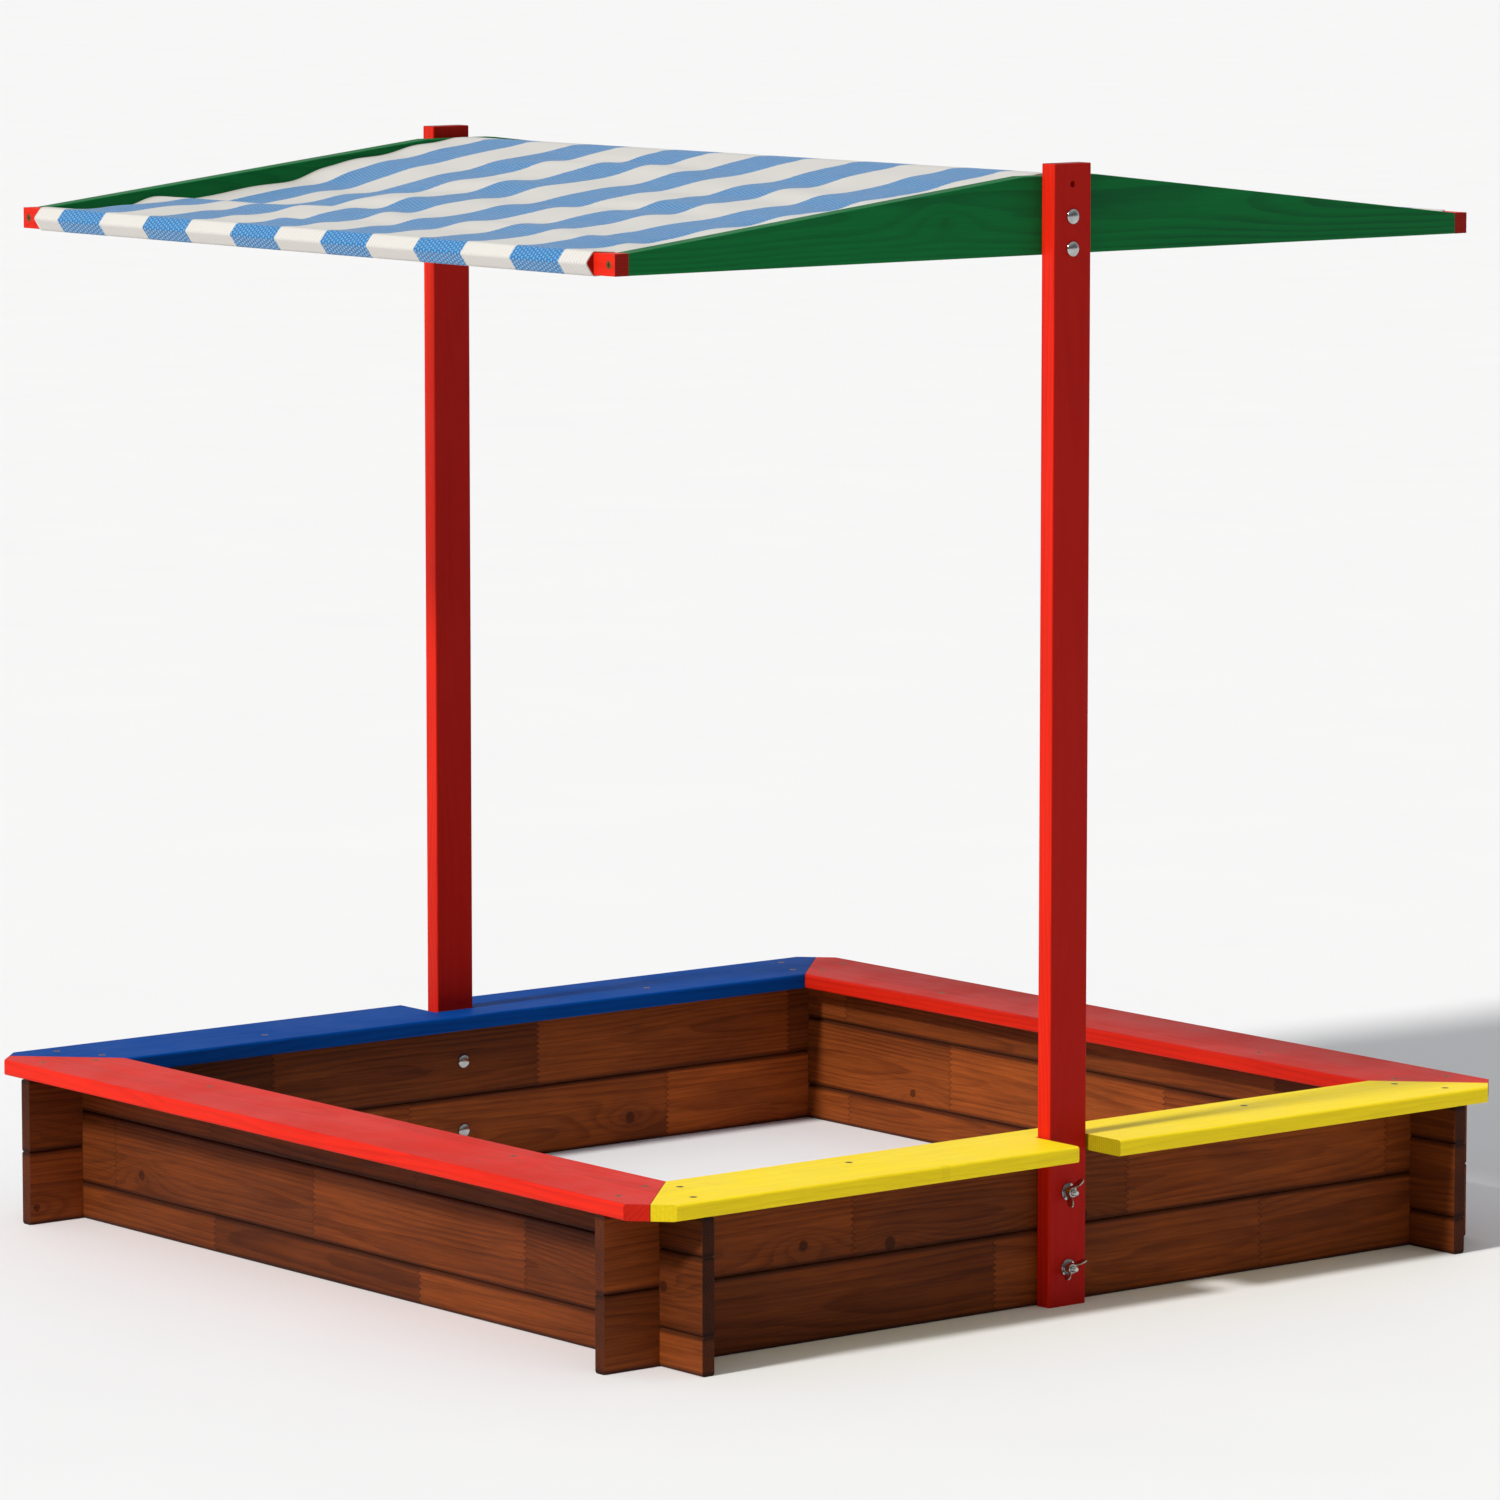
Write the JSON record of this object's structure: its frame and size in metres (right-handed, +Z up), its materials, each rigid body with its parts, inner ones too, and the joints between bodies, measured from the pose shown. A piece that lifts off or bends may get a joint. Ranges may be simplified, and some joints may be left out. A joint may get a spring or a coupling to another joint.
{
  "type": "sandbox with cover",
  "caption": "Square wooden sandbox with painted mitred seats, and a striped cloth roof that tilts between two posts bolted to its sides.",
  "frame": {"origin": "on the ground at the centre of the square frame", "axes": "+Z up; +X towards the yellow seat and its post; +Y towards the back red seat; roof boards along Y, battens along X"},
  "size_m": [1.18, 1.18, 1.18],
  "materials": {
    "stained_pine": "brown transparent stain, satin",
    "red_painted_wood": "red glaze over pine, satin",
    "yellow_painted_wood": "yellow glaze over pine, satin",
    "blue_painted_wood": "blue glaze over pine, satin",
    "green_painted_wood": "green glaze over pine, satin",
    "striped_cloth": "knitted blue and cream stripes, soft sheen",
    "zinc_hardware": "bright zinc plate",
    "brass_screw": "yellow passivated steel screw"
  },
  "bodies": {
    "frame": {"back_red_seat": "red_painted_wood", "back_red_seat_screws": "zinc_hardware", "back_wall_plank_1": "stained_pine", "back_wall_plank_2": "stained_pine", "back_wall_plank_3": "stained_pine", "blue_seat": "blue_painted_wood", "blue_seat_screws": "zinc_hardware", "front_red_seat": "red_painted_wood", "front_red_seat_screws": "zinc_hardware", "front_wall_plank_1": "stained_pine", "front_wall_plank_2": "stained_pine", "front_wall_plank_3": "stained_pine", "left_post": "red_painted_wood", "left_post_bolts": "zinc_hardware", "left_post_washers": "zinc_hardware", "left_roof_bolts": "zinc_hardware", "left_roof_washers": "zinc_hardware", "left_wall_plank_1": "stained_pine", "left_wall_plank_2": "stained_pine", "right_post": "red_painted_wood", "right_post_bolts": "zinc_hardware", "right_post_washers": "zinc_hardware", "right_roof_bolts": "zinc_hardware", "right_roof_washers": "zinc_hardware", "right_wall_plank_1": "stained_pine", "right_wall_plank_2": "stained_pine", "yellow_seat": "yellow_painted_wood", "yellow_seat_screws": "zinc_hardware"},
    "roof": {"back_eave_batten": "red_painted_wood", "back_eave_batten_screws": "brass_screw", "front_eave_batten": "red_painted_wood", "front_eave_batten_screws": "brass_screw", "left_roof_board": "green_painted_wood", "ridge_batten": "red_painted_wood", "ridge_batten_screws": "zinc_hardware", "right_roof_board": "green_painted_wood", "roof_cloth": "striped_cloth"},
    "left_post_wing_nut_lower": {"left_post_wing_nut_lower": "zinc_hardware"},
    "left_post_wing_nut_upper": {"left_post_wing_nut_upper": "zinc_hardware"},
    "left_roof_wing_nut_lower": {"left_roof_wing_nut_lower": "zinc_hardware"},
    "left_roof_wing_nut_upper": {"left_roof_wing_nut_upper": "zinc_hardware"},
    "right_post_wing_nut_lower": {"right_post_wing_nut_lower": "zinc_hardware"},
    "right_post_wing_nut_upper": {"right_post_wing_nut_upper": "zinc_hardware"},
    "right_roof_wing_nut_lower": {"right_roof_wing_nut_lower": "zinc_hardware"},
    "right_roof_wing_nut_upper": {"right_roof_wing_nut_upper": "zinc_hardware"}
  },
  "joints": [
    {"name": "roof_tilt", "type": "hinge", "parent": "frame", "child": "roof", "pos_m": [0, 0, 1.126], "axis": [1, 0, 0], "range_deg": [-20, 20]},
    {"name": "left_post_wing_nut_lower_spin", "type": "hinge", "parent": "frame", "child": "left_post_wing_nut_lower", "pos_m": [-0.5456, 0, 0.04], "axis": [1, 0, 0], "continuous": true},
    {"name": "left_post_wing_nut_upper_spin", "type": "hinge", "parent": "frame", "child": "left_post_wing_nut_upper", "pos_m": [-0.5456, 0, 0.12], "axis": [1, 0, 0], "continuous": true},
    {"name": "left_roof_wing_nut_lower_spin", "type": "hinge", "parent": "frame", "child": "left_roof_wing_nut_lower", "pos_m": [-0.494, 0, 1.093], "axis": [1, 0, 0], "continuous": true},
    {"name": "left_roof_wing_nut_upper_spin", "type": "hinge", "parent": "frame", "child": "left_roof_wing_nut_upper", "pos_m": [-0.494, 0, 1.126], "axis": [1, 0, 0], "continuous": true},
    {"name": "right_post_wing_nut_lower_spin", "type": "hinge", "parent": "frame", "child": "right_post_wing_nut_lower", "pos_m": [0.5456, 0, 0.04], "axis": [1, 0, 0], "continuous": true},
    {"name": "right_post_wing_nut_upper_spin", "type": "hinge", "parent": "frame", "child": "right_post_wing_nut_upper", "pos_m": [0.5456, 0, 0.12], "axis": [1, 0, 0], "continuous": true},
    {"name": "right_roof_wing_nut_lower_spin", "type": "hinge", "parent": "frame", "child": "right_roof_wing_nut_lower", "pos_m": [0.494, 0, 1.093], "axis": [1, 0, 0], "continuous": true},
    {"name": "right_roof_wing_nut_upper_spin", "type": "hinge", "parent": "frame", "child": "right_roof_wing_nut_upper", "pos_m": [0.494, 0, 1.126], "axis": [1, 0, 0], "continuous": true}
  ]
}
